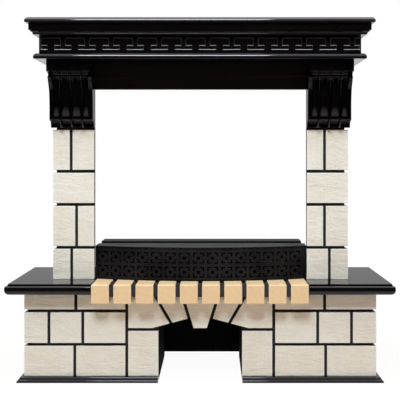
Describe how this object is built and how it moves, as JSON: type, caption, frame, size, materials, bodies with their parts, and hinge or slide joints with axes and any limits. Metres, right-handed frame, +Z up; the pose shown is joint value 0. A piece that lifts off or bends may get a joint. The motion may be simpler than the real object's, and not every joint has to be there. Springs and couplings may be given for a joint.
{
  "type": "fireplace surround",
  "caption": "Fireplace surround clad in pale cast stone, with a dark moulded mantel on corbels, a hearth slab on beam ends, a bowed pierced fender and an arched log niche.",
  "frame": {"origin": "on the floor, in the middle of the overall width and depth", "axes": "+X to the right of someone who faces the fire, +Y towards the wall, +Z up"},
  "size_m": [1.2, 0.412, 1.1285],
  "materials": {
    "black_lacquer": "high-gloss near-black lacquer over a faint open grain",
    "dark_board": "satin dark brown foil on board",
    "cast_stone": "matt warm off-white cast stone with a low rough relief",
    "pale_pine": "matt untreated pale wood, fine end grain",
    "charcoal_metal": "satin charcoal powder coat",
    "steel": "bright zinc plate",
    "dowel_wood": "raw beech, fluted"
  },
  "bodies": {
    "surround": {"hearth_slab": "black_lacquer", "beam_spacers": "black_lacquer", "skirting_front_left": "black_lacquer", "skirting_front_right": "black_lacquer", "skirting_returns": "black_lacquer", "apron_board": "black_lacquer", "corbel_left": "black_lacquer", "corbel_right": "black_lacquer", "mantel_sill": "black_lacquer", "fretwork_front": "black_lacquer", "fretwork_returns": "black_lacquer", "crown_front": "black_lacquer", "crown_returns": "black_lacquer", "mantel_shelf": "black_lacquer", "ledge_uprights": "black_lacquer", "ledge_top": "black_lacquer", "base_front_board": "dark_board", "base_side_board_left": "dark_board", "base_side_board_right": "dark_board", "niche_sides": "dark_board", "niche_back_panel": "dark_board", "base_rear_rails": "dark_board", "slab_batten": "dark_board", "column_front_board_left": "dark_board", "column_front_board_right": "dark_board", "column_side_board_left": "dark_board", "column_side_board_right": "dark_board", "frieze_front_board": "dark_board", "frieze_side_boards": "dark_board", "mantel_rear_rail": "dark_board", "base_course_low": "cast_stone", "base_course_middle": "cast_stone", "base_course_top": "cast_stone", "pier_stone_left": "cast_stone", "pier_stone_right": "cast_stone", "springer_left": "cast_stone", "springer_right": "cast_stone", "voussoir_left": "cast_stone", "voussoir_right": "cast_stone", "keystone": "cast_stone", "column_stones_left": "cast_stone", "column_stones_right": "cast_stone", "beam_end_1": "pale_pine", "beam_end_2": "pale_pine", "beam_end_3": "pale_pine", "beam_end_4": "pale_pine", "beam_end_5": "pale_pine", "beam_end_6": "pale_pine", "beam_end_7": "pale_pine", "beam_end_8": "pale_pine", "beam_end_9": "pale_pine", "beam_end_10": "pale_pine", "corner_brackets": "steel", "bracket_screws": "steel", "dowels": "dowel_wood"},
    "fender": {"fender_grille": "charcoal_metal", "fender_rim": "charcoal_metal", "fender_cheeks": "charcoal_metal", "fender_pegs": "steel"}
  },
  "joints": [
    {"name": "fender_lift", "type": "slide", "parent": "surround", "child": "fender", "axis": [0, 0, 1], "range_m": [0, 0.11]}
  ]
}
